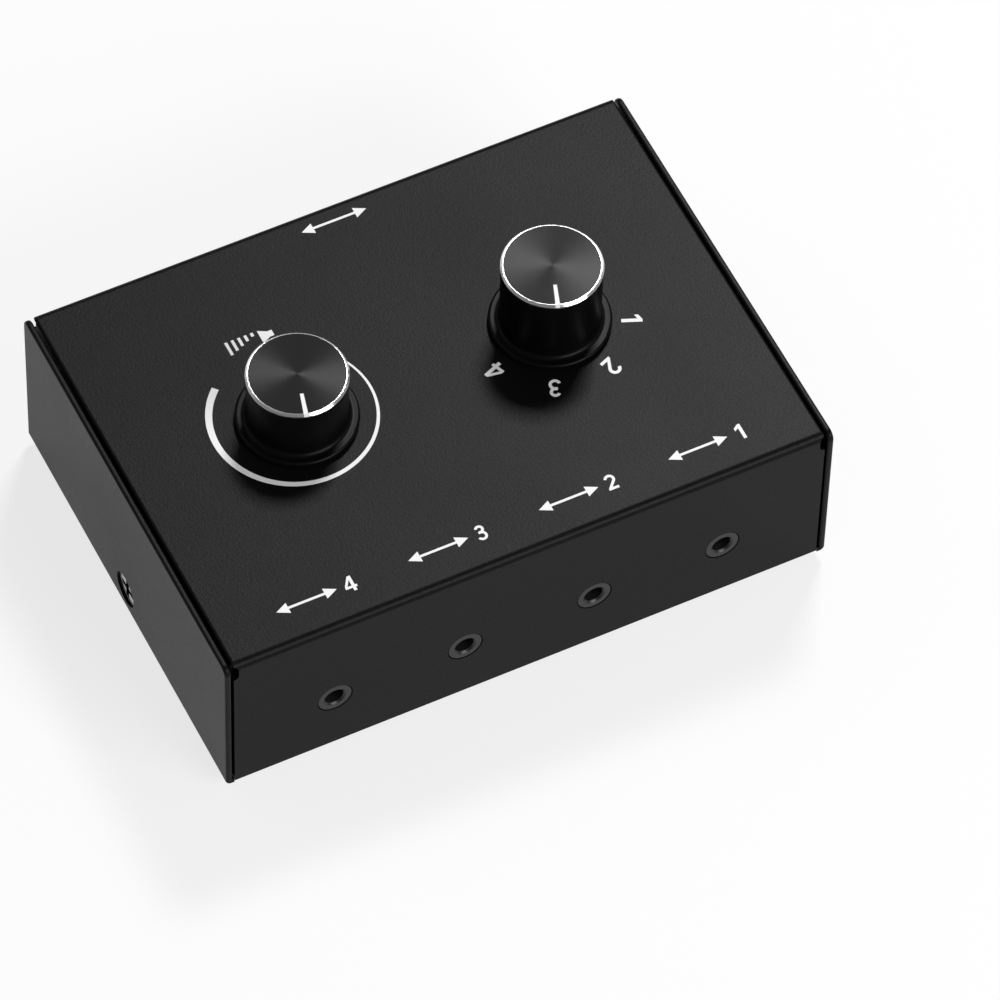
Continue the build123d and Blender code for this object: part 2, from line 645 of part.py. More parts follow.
# ---------------------------------------------------------------- selector rotary switch
switch_floor_z = BOARD_TOP_Z + SWITCH_STANDOFF
switch_roof_z = CEILING_Z - SWITCH_PLATE
first_angle = STEP_ANGLE * (POSITIONS - 1) / 2
last_angle = -first_angle
wafer_top_z = switch_floor_z + WAFER_THICK
case_inner_r = SWITCH_D / 2 - SWITCH_WALL
index_z = switch_roof_z - 0.4 - ROTOR_THICK
ball_z = index_z + ROTOR_THICK / 2
ball_r = case_inner_r - BALL_D / 2 - 0.1
contact_rotor_z = wafer_top_z + 0.6
stop_z = contact_rotor_z + 1.0
selector_shaft_top = TOP_Z + SELECTOR_RISE - CAP_THICK - KNOB_ROOF - SHAFT_END_GAP

with BuildPart() as selector_switch_case:
    with BuildSketch(Plane.XY.offset(wafer_top_z)):
        with Locations((CONTROL_X, CONTROL_Y)):
            Circle(SWITCH_D / 2)
            Circle(case_inner_r, mode=Mode.SUBTRACT)
    extrude(amount=switch_roof_z - wafer_top_z)
    # one notch for each index position, at the ball's height
    with BuildSketch(Plane.XY.offset(index_z)):
        with Locations((CONTROL_X, CONTROL_Y)):
            with PolarLocations(case_inner_r + NOTCH_DEPTH - BALL_D / 2, 8, SELECTOR_ANGLE):
                Circle(BALL_D / 2)
    extrude(amount=ROTOR_THICK, mode=Mode.SUBTRACT)
    # two fixed stops, one past each end of the travel
    lug_r, lug_width = SWITCH_LUG
    with BuildSketch(Plane.XY.offset(stop_z)):
        for stop_angle in (first_angle + STOP_CLEAR_ANGLE, last_angle - STOP_CLEAR_ANGLE):
            with Locations(Location((CONTROL_X, CONTROL_Y), stop_angle - 90)):
                with Locations((lug_r, 0)):
                    Rectangle(case_inner_r - lug_r + 0.4, lug_width, align=(Align.MIN, Align.CENTER))
    extrude(amount=STOP_HEIGHT)
save(selector_switch_case, "selector_switch_case")

with BuildPart() as selector_switch_wafer:
    with BuildSketch(Plane.XY.offset(switch_floor_z)):
        with Locations((CONTROL_X, CONTROL_Y)):
            Circle(SWITCH_D / 2)
        with Locations(switch_pins):
            Circle(0.55, mode=Mode.SUBTRACT)
    extrude(amount=WAFER_THICK)
save(selector_switch_wafer, "selector_switch_wafer")

with BuildPart() as selector_switch_terminals:
    with BuildSketch(Plane.XY.offset(BOARD_Z - PIN_PROUD)):
        with Locations(switch_pins):
            Circle(0.45)
    extrude(amount=wafer_top_z - BOARD_Z + PIN_PROUD)
    with BuildSketch(Plane.XY.offset(wafer_top_z)):
        with Locations(switch_pins):
            Circle(0.9)
    extrude(amount=0.3)
save(selector_switch_terminals, "selector_switch_terminals")

with BuildPart() as selector_switch_rotor:
    with BuildSketch(Plane.XY.offset(index_z)):
        with Locations((CONTROL_X, CONTROL_Y)):
            Circle(INDEX_D / 2)
            Circle(SHAFT_D / 2, mode=Mode.SUBTRACT)
    extrude(amount=ROTOR_THICK)
    with BuildSketch(Plane.XY.offset(contact_rotor_z + 0.4)):
        with Locations((CONTROL_X, CONTROL_Y)):
            Circle(ROTOR_D / 2)
            Circle(SHAFT_D / 2, mode=Mode.SUBTRACT)
    extrude(amount=index_z - contact_rotor_z - 0.4)
    # stop tab, in line with the knob's pointer
    with BuildSketch(Plane.XY.offset(stop_z)):
        with Locations(Location((CONTROL_X, CONTROL_Y), SELECTOR_ANGLE - 90)):
            Rectangle(*SWITCH_TAB, align=(Align.MIN, Align.CENTER))
            Circle(SHAFT_D / 2, mode=Mode.SUBTRACT)
    extrude(amount=STOP_HEIGHT)
    # radial bore for the index ball and its spring
    bore = Plane(
        origin=(CONTROL_X, CONTROL_Y, ball_z),
        x_dir=(0, 0, 1),
        z_dir=(cos(radians(SELECTOR_ANGLE)), sin(radians(SELECTOR_ANGLE)), 0),
    )
    with BuildSketch(bore.offset(SHAFT_D / 2 + 0.4)):
        Circle(BALL_BORE_D / 2)
    extrude(amount=ROTOR_D, mode=Mode.SUBTRACT)
save(selector_switch_rotor, "selector_switch_rotor")

with BuildPart() as selector_switch_wiper:
    with BuildSketch(Plane.XY.offset(contact_rotor_z)):
        with Locations(Location((CONTROL_X, CONTROL_Y), SELECTOR_ANGLE)):
            Rectangle(2 * switch_pin_r + 1.6, 3.0)
        with Locations((CONTROL_X, CONTROL_Y)):
            Circle(ROTOR_D / 2 - 0.5)
            Circle(SHAFT_D / 2, mode=Mode.SUBTRACT)
    extrude(amount=0.4)
save(selector_switch_wiper, "selector_switch_wiper")

with BuildPart() as selector_index_ball:
    with Locations(bore.offset(ball_r).location):
        Sphere(BALL_D / 2)
save(selector_index_ball, "selector_index_ball")

spring_start = bore.offset(SHAFT_D / 2 + 0.5 + SPRING_WIRE / 2)
spring_length = ball_r - BALL_D / 2 - SHAFT_D / 2 - 0.5 - SPRING_WIRE
with BuildPart() as selector_index_spring:
    with BuildLine() as coil:
        Helix(
            spring_length / SPRING_TURNS,
            spring_length,
            (SPRING_D - SPRING_WIRE) / 2,
            center=spring_start.origin,
            direction=spring_start.z_dir,
        )
    with BuildSketch(Plane(origin=coil.line @ 0, z_dir=coil.line % 0)):
        Circle(SPRING_WIRE / 2)
    sweep()
save(selector_index_spring, "selector_index_spring")

save(
    shaft(CONTROL_X, SELECTOR_ANGLE, wafer_top_z + 0.4, hub_floor_z, selector_shaft_top),
    "selector_switch_shaft",
)
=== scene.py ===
"""Finishes a packed speaker selector switch: printed marks, solder joints, materials and a stage.

Everything is in metres in the model's own frame: +X along the front wall towards the selector
knob, +Y from the front wall to the back wall, +Z up, with the table at Z = 0.
"""

import math

import bmesh
import bpy
from bpy.props import (
    FloatProperty,
    FloatVectorProperty,
    IntProperty,
    PointerProperty,
)
from bpy.types import Operator, Panel, PropertyGroup
from mathutils import Matrix, Vector


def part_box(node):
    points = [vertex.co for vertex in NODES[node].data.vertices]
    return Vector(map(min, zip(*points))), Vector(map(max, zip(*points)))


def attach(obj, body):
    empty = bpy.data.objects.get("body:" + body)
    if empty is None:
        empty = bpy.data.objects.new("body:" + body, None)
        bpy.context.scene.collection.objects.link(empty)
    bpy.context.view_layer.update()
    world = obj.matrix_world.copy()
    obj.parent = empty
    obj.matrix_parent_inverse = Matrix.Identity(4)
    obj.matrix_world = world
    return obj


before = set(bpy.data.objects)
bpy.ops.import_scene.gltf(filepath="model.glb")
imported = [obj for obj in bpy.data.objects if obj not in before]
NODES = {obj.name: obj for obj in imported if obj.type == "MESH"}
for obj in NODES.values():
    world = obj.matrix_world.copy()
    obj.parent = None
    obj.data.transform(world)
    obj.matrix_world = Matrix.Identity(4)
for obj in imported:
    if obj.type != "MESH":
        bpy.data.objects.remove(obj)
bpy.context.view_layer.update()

bl_info = {
    "name": "Speaker Selector Switch",
    "version": (1, 0, 0),
    "blender": (4, 5, 0),
    "location": "3D View > Sidebar > Switch Box",
    "description": "Prints, solders and finishes a speaker selector switch on its own stage",
    "category": "Object",
}

MM = 0.001
SAME_POINT = 1e-7

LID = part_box("cover_shell")[1].z
BOARD_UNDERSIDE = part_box("circuit_board")[0].z
BOARD_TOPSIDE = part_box("circuit_board")[1].z


def middle(node):
    """Centre of a CAD node's box."""
    low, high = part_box(node)
    return (low + high) / 2


VOLUME_AXIS = middle("volume_knob_cap")
SELECTOR_AXIS = middle("selector_knob_cap")
FRONT_JACKS = ("front_jack_1", "front_jack_2", "front_jack_3", "front_jack_4")
JACKS = (*FRONT_JACKS, "rear_jack")
JACK_XS = sorted(middle(f"{jack}_housing").x for jack in FRONT_JACKS)


# ---------------------------------------------------------------- settings


class PrintSizes(PropertyGroup):
    """Sizes of the white marks printed on the lid."""

    ink_height: FloatProperty(
        name="Ink height", description="How far the ink stands on the paint",
        default=0.03 * MM, unit="LENGTH")
    label_y: FloatProperty(
        name="Front labels", description="Middle of the front labels along Y",
        default=-34.75 * MM, unit="LENGTH")
    rear_label_y: FloatProperty(
        name="Rear label", description="Middle of the rear label along Y",
        default=38.1 * MM, unit="LENGTH")
    label_length: FloatProperty(
        name="Label arrow", description="Length of the double arrow in a front label",
        default=11.6 * MM, unit="LENGTH")
    rear_label_length: FloatProperty(
        name="Rear arrow", description="Length of the double arrow at the rear jack",
        default=12.8 * MM, unit="LENGTH")
    figure_height: FloatProperty(
        name="Label figures", description="Height of the figures in the front labels",
        default=3.25 * MM, unit="LENGTH")
    position_height: FloatProperty(
        name="Position figures", description="Height of the figures round the selector knob",
        default=3.8 * MM, unit="LENGTH")
    selector_radius: FloatProperty(
        name="Selector figures", description="Radius on which the four positions are printed",
        default=14.68 * MM, unit="LENGTH")
    selector_step: FloatProperty(
        name="Selector step", description="Angle from one selector position to the next",
        default=math.radians(45), subtype="ANGLE")
    arc_radius: FloatProperty(
        name="Volume arc", description="Radius of the volume arc's middle line",
        default=14.95 * MM, unit="LENGTH")
    arc_sweep: FloatProperty(
        name="Arc sweep", description="Angle that the volume arc covers",
        default=math.radians(276), subtype="ANGLE")
    arc_thick: FloatProperty(
        name="Arc thick end", description="Width of the volume arc at its thick end",
        default=1.35 * MM, unit="LENGTH")
    arc_thin: FloatProperty(
        name="Arc thin end", description="Width of the volume arc at its thin end",
        default=0.3 * MM, unit="LENGTH")
    bar_count: IntProperty(
        name="Volume bars", description="Rising bars beside the loudspeaker mark",
        default=5, min=2, max=12)


class FinishColours(PropertyGroup):
    """Colours of the finishes and of the floor, and the width of the discs' bright rims."""

    powder: FloatVectorProperty(
        name="Powder coat", description="Colour of the box's powder coat",
        default=(0.0033, 0.0033, 0.0035), subtype="COLOR")
    ink: FloatVectorProperty(
        name="Ink", description="Colour of the printed marks and the pointers",
        default=(0.84, 0.84, 0.84), subtype="COLOR")
    knob: FloatVectorProperty(
        name="Knob", description="Colour of the moulded knobs",
        default=(0.002, 0.002, 0.002), subtype="COLOR")
    disc: FloatVectorProperty(
        name="Knob disc", description="Colour of the spun disc on each knob",
        default=(0.005, 0.005, 0.0052), subtype="COLOR")
    rim: FloatVectorProperty(
        name="Disc rim", description="Colour of the bright cut rim round each disc",
        default=(0.90, 0.90, 0.90), subtype="COLOR")
    rim_chamfer: FloatProperty(
        name="Rim chamfer", description="Width of the chamfer round each disc",
        default=0.4 * MM, unit="LENGTH")
    floor: FloatVectorProperty(
        name="Floor", description="Colour of the studio floor",
        default=(0.90, 0.90, 0.90), subtype="COLOR")


class StudioView(PropertyGroup):
    """Where the camera stands and how bright the lamps are."""

    azimuth: FloatProperty(
        name="Azimuth", description="Direction of view, from +Y towards +X",
        default=math.radians(27.805), subtype="ANGLE")
    elevation: FloatProperty(
        name="Elevation", description="Angle of view below the horizon",
        default=math.radians(54.462), subtype="ANGLE")
    roll: FloatProperty(
        name="Roll", description="Turn of the camera about its line of sight",
        default=math.radians(1.958), subtype="ANGLE")
    lens: FloatProperty(
        name="Lens", description="Focal length on a 36 mm sensor",
        default=303.80, unit="CAMERA")
    distance: FloatProperty(
        name="Distance", description="From the camera to the box's middle",
        default=1.5214, unit="LENGTH")
    shift_right: FloatProperty(
        name="Slide right", description="How far the box stands to the right of the line of sight",
        default=-0.013548, unit="LENGTH")
    shift_up: FloatProperty(
        name="Slide up", description="How far the box stands above the line of sight",
        default=0.001536, unit="LENGTH")
    key_power: FloatProperty(
        name="Key lamp", description="Power of the main lamp, behind and to the right",
        default=23.0, unit="POWER")
    side_power: FloatProperty(
        name="Side lamp", description="Power of the lamp behind and to the left",
        default=0.8, unit="POWER")
    front_power: FloatProperty(
        name="Front lamp", description="Power of the lamp in front, which fills the shadows",
        default=13.0, unit="POWER")
    sky: FloatProperty(
        name="Sky", description="Strength of the plain surroundings", default=0.17)


# ---------------------------------------------------------------- node trees


class Signal:
    """One output in a node tree. Arithmetic on it adds Math nodes."""

    def __init__(self, graph, socket):
        self.graph = graph
        self.socket = socket

    def __add__(self, other):
        return self.graph.math("ADD", self, other)

    def __sub__(self, other):
        return self.graph.math("SUBTRACT", self, other)

    def __rsub__(self, other):
        return self.graph.math("SUBTRACT", other, self)

    def __mul__(self, other):
        return self.graph.math("MULTIPLY", self, other)

    def __truediv__(self, other):
        return self.graph.math("DIVIDE", self, other)

    def __abs__(self):
        return self.graph.math("ABSOLUTE", self)

    __radd__ = __add__
    __rmul__ = __mul__


class Graph:
    """A node tree that is being wired. `node` adds any node and returns one of its outputs."""

    def __init__(self, tree):
        self.tree = tree

    def node(self, kind, settings=None, inputs=None, output=0):
        """Adds a node of a kind, with its settings first and then its sockets' values or links."""
        made = self.tree.nodes.new(kind)
        for name, value in (settings or {}).items():
            setattr(made, name, value)
        for name, value in (inputs or {}).items():
            self.plug(value, made.inputs[name])
        return Signal(self, made.outputs[output])

    def plug(self, value, socket):
        """Links a signal, or sets a plain value on the socket itself."""
        if isinstance(value, Signal):
            self.tree.links.new(value.socket, socket)
        elif socket.type == "RGBA":
            socket.default_value = (*tuple(value)[:3], 1)
        else:
            socket.default_value = value

    def math(self, operation, *operands):
        """A sum on numbers or signals."""
        return self.node("ShaderNodeMath", {"operation": operation}, dict(enumerate(operands)))

    def axis(self, vector, name):
        """One component of a vector, by its letter."""
        return self.node("ShaderNodeSeparateXYZ", None, {0: vector}, name)

    def point(self, x=0.0, y=0.0, z=0.0):
        """A vector from its three components."""
        return self.node("ShaderNodeCombineXYZ", None, {"X": x, "Y": y, "Z": z})


# ---------------------------------------------------------------- materials


class Finish(Graph):
    """A material that is being mixed."""

    def __init__(self, name, **shader):
        self.material = bpy.data.materials.new(name)
        self.material.use_nodes = True
        super().__init__(self.material.node_tree)
        self.shader = self.tree.nodes["Principled BSDF"]
        self.set(**shader)

    def set(self, **sockets):
        """Sets sockets of the shader: Base_Color=..., Roughness=..."""
        for name, value in sockets.items():
            self.plug(value, self.shader.inputs[name.replace("_", " ")])

    def vector(self, operation, *operands, output=0):
        """A sum on vectors."""
        inputs = dict(enumerate(operands))
        return self.node("ShaderNodeVectorMath", {"operation": operation}, inputs, output)

    def place(self, centre=(0, 0, 0)):
        """Object coordinates measured from a point."""
        coordinates = self.node("ShaderNodeTexCoord", output="Object")
        return self.vector("SUBTRACT", coordinates, tuple(centre))

    def grain(self, size, detail=2.0, stretch=None):
        """Noise from 0 to 1 whose lumps are about `size` across."""
        where = self.place()
        if stretch:
            where = self.vector("MULTIPLY", where, stretch)
        inputs = {"Vector": where, "Scale": 1 / size, "Detail": detail}
        return self.node("ShaderNodeTexNoise", None, inputs)

    def blend(self, factor, first, second):
        """Colour between two colours."""
        # a Mix node names its sockets alike for each kind of value, so its colours go by number
        inputs = {0: factor, 6: first, 7: second}
        return self.node("ShaderNodeMix", {"data_type": "RGBA"}, inputs, output=2)

    def between(self, signal, low, high):
        """Signal's stretch from low to high, spread over 0 to 1 with soft ends."""
        inputs = {"Value": signal, "From Min": low, "From Max": high}
        return self.node("ShaderNodeMapRange", {"interpolation_type": "SMOOTHSTEP"}, inputs)

    def emboss(self, height, depth):
        """Raises the surface by up to `depth` where height is 1."""
        inputs = {"Height": height, "Distance": depth, "Strength": 1.0}
        self.set(Normal=self.node("ShaderNodeBump", None, inputs))


def scaled(colour, factor):
    """A colour made lighter or darker."""
    return tuple(channel * factor for channel in tuple(colour)[:3])


def powder_coat(colour):
    """Fine matt-satin powder coat with a shallow orange peel and pin-point sparkle."""
    finish = Finish("powder_coat", IOR=1.18)
    peel = finish.grain(0.32 * MM, detail=3.0)
    speck = finish.grain(0.11 * MM, detail=1.0)
    wave = finish.grain(0.5 * MM)
    cloud = finish.grain(22 * MM)
    tone = finish.between(speck * 0.55 + peel * 0.25 + cloud * 0.2, 0.36, 0.66)
    finish.set(
        Base_Color=finish.blend(tone, scaled(colour, 0.78), scaled(colour, 1.22)),
        Roughness=0.29 + 0.14 * peel + 0.05 * cloud,
    )
    finish.emboss(peel * 0.35 + wave * 0.4 + speck * 0.25, 0.05 * MM)
    return finish.material


def screen_ink(colour):
    """Flat white print, a little uneven in cover."""
    finish = Finish("screen_ink")
    cover = finish.grain(0.5 * MM, detail=3.0)
    finish.set(
        Base_Color=finish.blend(cover, scaled(colour, 0.93), scaled(colour, 1.04)),
        Roughness=0.42 + 0.12 * cover,
    )
    finish.emboss(finish.grain(0.18 * MM), 0.006 * MM)
    return finish.material


def moulded_black(name, colour, roughness, pit, gleam=0.3):
    """Moulded plastic with faint flow lines and a mould texture `pit` deep."""
    finish = Finish(name, Specular_IOR_Level=gleam)
    flow = finish.grain(4 * MM, detail=3.0, stretch=(1, 1, 0.25))
    texture = finish.grain(0.14 * MM)
    finish.set(
        Base_Color=finish.blend(flow, scaled(colour, 0.8), scaled(colour, 1.25)),
        Roughness=roughness - 0.05 + 0.08 * flow + 0.04 * texture,
    )
    finish.emboss(texture, pit)
    return finish.material


def spun_disc(name, axis, colour, rim_colour, disc_radius):
    """Anodised aluminium disc, spun to fine rings, with a bright diamond-cut rim."""
    finish = Finish(
        name, Metallic=1.0, Anisotropic=0.9, Anisotropic_Rotation=0.25,
        Coat_Weight=0.8, Coat_Roughness=0.4, Coat_IOR=1.17)
    across = finish.vector("MULTIPLY", finish.place((axis.x, axis.y, 0)), (1, 1, 0))
    radius = finish.vector("LENGTH", across, output="Value")
    ring_width = 0.09 * MM
    rings = finish.node(
        "ShaderNodeTexNoise", {"noise_dimensions": "1D"},
        {"W": radius, "Scale": 1 / ring_width, "Detail": 3.0})
    rim = finish.between(radius, disc_radius - 0.13 * MM, disc_radius - 0.07 * MM)
    inside = 1 - rim
    face = finish.blend(rings, scaled(colour, 0.9), scaled(colour, 1.1))
    finish.set(
        Base_Color=finish.blend(rim, face, rim_colour),
        Roughness=(0.195 + 0.04 * rings) * inside + 0.22 * rim,
    )
    finish.emboss(rings * inside, 0.0025 * MM)
    return finish.material


def bare_metal(name, colour, roughness, turned=False):
    """Plated or turned metal. A turned piece has fine rings along its length."""
    finish = Finish(name, Metallic=1.0)
    marks = finish.grain(0.25 * MM, detail=3.0, stretch=(0.2, 0.2, 6.0) if turned else None)
    haze = finish.grain(3 * MM)
    finish.set(
        Base_Color=finish.blend(haze, scaled(colour, 0.88), scaled(colour, 1.06)),
        Roughness=roughness + 0.08 * marks + 0.06 * haze,
    )
    finish.emboss(marks, 0.004 * MM)
    return finish.material


def screw_with_painted_recess_shade(colour, axis, slot_width, slot_reach):
    """Bright-edged screw along X whose cross recess is coloured near black as painted shade."""
    finish = Finish("black_zinc", Metallic=1.0)
    where = finish.place(axis)
    across, upward = finish.axis(where, "Y"), finish.axis(where, "Z")
    soft = 0.05 * MM
    half = slot_width / 2
    beside = finish.between(abs(across), half - soft, half + soft)
    above = finish.between(abs(upward), half - soft, half + soft)
    far = across * across + upward * upward
    outside = finish.between(far, slot_reach ** 2 * 0.9, slot_reach ** 2 * 1.1)
    # painted shade: the cross recess is coloured near black to stand in for the shade inside it
    painted_recess_shade = (1 - beside * above) * (1 - outside)
    haze = finish.grain(0.6 * MM, detail=3.0)
    worn = finish.blend(haze, scaled(colour, 0.8), scaled(colour, 1.15))
    finish.set(
        Base_Color=finish.blend(painted_recess_shade, worn, scaled(colour, 0.03)),
        Roughness=0.2 + 0.1 * haze,
    )
    finish.emboss(haze, 0.006 * MM)
    return finish.material


def solder_mask(colour):
    """Green board with copper tracks showing through its mask."""
    finish = Finish("solder_mask", Specular_IOR_Level=0.5)
    track_pitch = 14 * MM
    tracks = finish.node(
        "ShaderNodeTexBrick", {"offset": 0.5},
        {"Vector": finish.place(), "Scale": 1 / track_pitch, "Mortar Size": 0.035,
         "Mortar Smooth": 0.2}, output=1)
    weave = finish.grain(0.6 * MM)
    laminate = finish.blend(weave, scaled(colour, 0.8), scaled(colour, 1.15))
    finish.set(
        Base_Color=finish.blend(tracks, laminate, scaled(colour, 1.9)),
        Roughness=0.28 + 0.12 * weave,
    )
    finish.emboss(tracks + weave * 0.1, 0.02 * MM)
    return finish.material


def phenolic(name, colour):
    """Pressed phenolic sheet with a fibrous grain."""
    finish = Finish(name)
    fibre = finish.grain(0.8 * MM, detail=4.0, stretch=(0.3, 1, 1))
    finish.set(
        Base_Color=finish.blend(fibre, scaled(colour, 0.7), scaled(colour, 1.3)),
        Roughness=0.45 + 0.15 * fibre,
    )
    finish.emboss(fibre, 0.01 * MM)
    return finish.material


def black_rubber():
    """Matt rubber with a fine bloom."""
    finish = Finish("foot_rubber", Specular_IOR_Level=0.3)
    bloom = finish.grain(1.5 * MM, detail=4.0)
    finish.set(
        Base_Color=finish.blend(bloom, (0.014, 0.014, 0.014), (0.03, 0.03, 0.03)),
        Roughness=0.72 + 0.15 * bloom,
    )
    finish.emboss(finish.grain(0.2 * MM), 0.02 * MM)
    return finish.material


def dress(material, *nodes):
    """Puts one material on whole CAD nodes."""
    for node in nodes:
        slots = NODES[node].data.materials
        slots.clear()
        slots.append(material)


# ---------------------------------------------------------------- meshes


def new_piece(name, mesh, material, body="enclosure"):
    """Shows a mesh as a named piece that rides with one body."""
    mesh.name = name
    piece = bpy.data.objects.new(name, mesh)
    bpy.context.scene.collection.objects.link(piece)
    mesh.materials.clear()
    mesh.materials.append(material)
    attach(piece, body)
    return piece


def slab(outline, height):
    """Closed flat solid on an outline of (x, y) points, counter-clockwise."""
    bm = bmesh.new()
    floor = [bm.verts.new((x, y, 0)) for x, y in outline]
    lid = [bm.verts.new((x, y, height)) for x, y in outline]
    ends = [bm.faces.new(list(reversed(floor))), bm.faces.new(lid)]
    for n in range(len(outline)):
        after = (n + 1) % len(outline)
        bm.faces.new((floor[n], floor[after], lid[after], lid[n]))
    bm.normal_update()
    bmesh.ops.triangulate(bm, faces=ends)
    mesh = bpy.data.meshes.new("slab")
    bm.to_mesh(mesh)
    bm.free()
    return mesh


def arrow_outline(length):
    """Double-headed arrow along X, centred on the origin."""
    half_shaft, head, barb = 0.24 * MM, 2.3 * MM, 1.15 * MM
    tip = length / 2
    neck = tip - head
    right = [(neck, -half_shaft), (neck, -barb), (tip, 0), (neck, barb), (neck, half_shaft)]
    return right + [(-x, -y) for x, y in right]


def bow(centre, radius, start, stop):
    """Points along an arc from one angle in degrees to another, about 9 degrees apart."""
    count = max(2, round(abs(stop - start) / 9))
    angles = [math.radians(start + (stop - start) * n / count) for n in range(count + 1)]
    return [(centre[0] + radius * math.cos(a), centre[1] + radius * math.sin(a)) for a in angles]


def figure_outlines(figure):
    """Outline and hole of a bold figure from 1 to 4, one unit high, standing on Y = 0."""
    if figure == 1:
        return [[(0.23, 0), (0.42, 0), (0.42, 1), (0.27, 1), (0, 0.81), (0, 0.62), (0.23, 0.76)]]
    if figure == 2:
        top = (0.31, 0.69)
        foot = [(0.24, 0.16), (0.60, 0.16), (0.60, 0), (0, 0), (0, 0.11)]
        return [bow(top, 0.31, 165, -40) + foot + bow(top, 0.15, -40, 165)]
    if figure == 3:
        top, low = (0.30, 0.735), (0.29, 0.30)
        waist = [(0.17, 0.45), (0.17, 0.61)]
        outside = bow(top, 0.265, 160, -48) + bow(low, 0.30, 53, -160)
        return [outside + bow(low, 0.15, -160, 90) + waist + bow(top, 0.115, -90, 160)]
    stem = [(0.39, 0), (0.57, 0), (0.57, 0.21), (0.68, 0.21), (0.68, 0.36), (0.57, 0.36), (0.57, 1)]
    slope = [(0.38, 1), (0, 0.38), (0, 0.21), (0.39, 0.21)]
    hole = [(0.39, 0.36), (0.39, 0.76), (0.15, 0.36)]
    return [stem + slope, hole]


def figure_mesh(figure, height, thickness):
    """A figure as a closed solid, centred on the origin and standing on Z = 0."""
    curve = bpy.data.curves.new("figure", "CURVE")
    curve.dimensions = "2D"
    curve.fill_mode = "BOTH"
    curve.extrude = thickness / 2
    outlines = figure_outlines(figure)
    middle_x = (min(x for x, y in outlines[0]) + max(x for x, y in outlines[0])) / 2
    for outline in outlines:
        spline = curve.splines.new("POLY")
        spline.points.add(len(outline) - 1)
        for point, (x, y) in zip(spline.points, outline):
            point.co = ((x - middle_x) * height, (y - 0.5) * height, thickness / 2, 1)
        spline.use_cyclic_u = True
    carrier = bpy.data.objects.new("figure", curve)
    bpy.context.scene.collection.objects.link(carrier)
    evaluated = carrier.evaluated_get(bpy.context.evaluated_depsgraph_get())
    mesh = bpy.data.meshes.new_from_object(evaluated)
    bpy.data.objects.remove(carrier)
    bpy.data.curves.remove(curve)
    bm = bmesh.new()
    bm.from_mesh(mesh)
    bmesh.ops.remove_doubles(bm, verts=bm.verts, dist=SAME_POINT)
    bmesh.ops.recalc_face_normals(bm, faces=bm.faces)
    bm.to_mesh(mesh)
    bm.free()
    return mesh


def turned_to(x, y, z, angle=0.0):
    """Transform that turns a flat mark and sets it down at a point."""
    return Matrix.Translation((x, y, z)) @ Matrix.Rotation(angle, 4, "Z")


def joined(meshes):
    """One mesh from several."""
    bm = bmesh.new()
    for mesh in meshes:
        bm.from_mesh(mesh)
        bpy.data.meshes.remove(mesh)
    mesh = bpy.data.meshes.new("joined")
    bm.to_mesh(mesh)
    bm.free()
    return mesh


def leg_middles(node, level):
    """Middles of the separate legs of a node that cross a level."""
    near = 1.2 * MM
    bm = bmesh.new()
    bm.from_mesh(NODES[node].data)
    bmesh.ops.remove_doubles(bm, verts=bm.verts, dist=10 * SAME_POINT)
    middles, seen = [], set()
    for first in bm.verts:
        if first in seen:
            continue
        seen.add(first)
        island, edge = [], [first]
        while edge:
            vertex = edge.pop()
            island.append(vertex.co)
            for link in vertex.link_edges:
                other = link.other_vert(vertex)
                if other not in seen:
                    seen.add(other)
                    edge.append(other)
        heights = [co.z for co in island]
        if min(heights) < level < max(heights):
            leg = [co for co in island if abs(co.z - level) < near] or island
            xs, ys = [co.x for co in leg], [co.y for co in leg]
            middles.append(((min(xs) + max(xs)) / 2, (min(ys) + max(ys)) / 2))
    bm.free()
    return middles


# ---------------------------------------------------------------- geometry nodes


class Rule(Graph):
    """A geometry node tree with named inputs, ending in Realize Instances and Set Material."""

    def __init__(self, name, material, **sizes):
        super().__init__(bpy.data.node_groups.new(name, "GeometryNodeTree"))
        self.material = material
        self.sizes = sizes
        self.keys = {}
        self.add_socket("Geometry", "INPUT", "NodeSocketGeometry")
        for size, value in sizes.items():
            kind = "NodeSocketInt" if isinstance(value, int) else "NodeSocketFloat"
            self.keys[size] = self.add_socket(size, "INPUT", kind).identifier
        self.add_socket("Geometry", "OUTPUT", "NodeSocketGeometry")
        self.start = self.tree.nodes.new("NodeGroupInput")

    def add_socket(self, name, side, kind):
        """A new input or output of the whole tree."""
        return self.tree.interface.new_socket(name, in_out=side, socket_type=kind)

    def given(self, name):
        """A named input of the tree."""
        return Signal(self, self.start.outputs[name])

    def line(self, step, start=(0, 0, 0)):
        """Points in a row, as many as the tree's Count."""
        inputs = {"Count": self.given("Count"), "Start Location": start, "Offset": step}
        return self.node("GeometryNodeMeshLine", {"mode": "OFFSET"}, inputs)

    def copies(self, points, piece, scale=(1, 1, 1)):
        """A piece at each of the points."""
        inputs = {"Points": points, "Instance": piece, "Scale": scale}
        return self.node("GeometryNodeInstanceOnPoints", None, inputs)

    def finish(self, geometry):
        """Closes the tree on its last geometry."""
        real = self.node("GeometryNodeRealizeInstances", None, {"Geometry": geometry})
        inputs = {"Geometry": real, "Material": self.material}
        dressed = self.node("GeometryNodeSetMaterial", None, inputs)
        end = self.tree.nodes.new("NodeGroupOutput")
        self.plug(dressed, end.inputs[0])
        return self

    def grow(self, seed_mesh):
        """Runs the tree on a mesh and returns the plain mesh that it makes."""
        carrier = bpy.data.objects.new(self.tree.name, seed_mesh)
        bpy.context.scene.collection.objects.link(carrier)
        modifier = carrier.modifiers.new(self.tree.name, "NODES")
        modifier.node_group = self.tree
        for size, key in self.keys.items():
            modifier[key] = self.sizes[size]
        evaluated = carrier.evaluated_get(bpy.context.evaluated_depsgraph_get())
        mesh = bpy.data.meshes.new_from_object(evaluated)
        carrier.modifiers.remove(modifier)
        bpy.data.objects.remove(carrier)
        return mesh


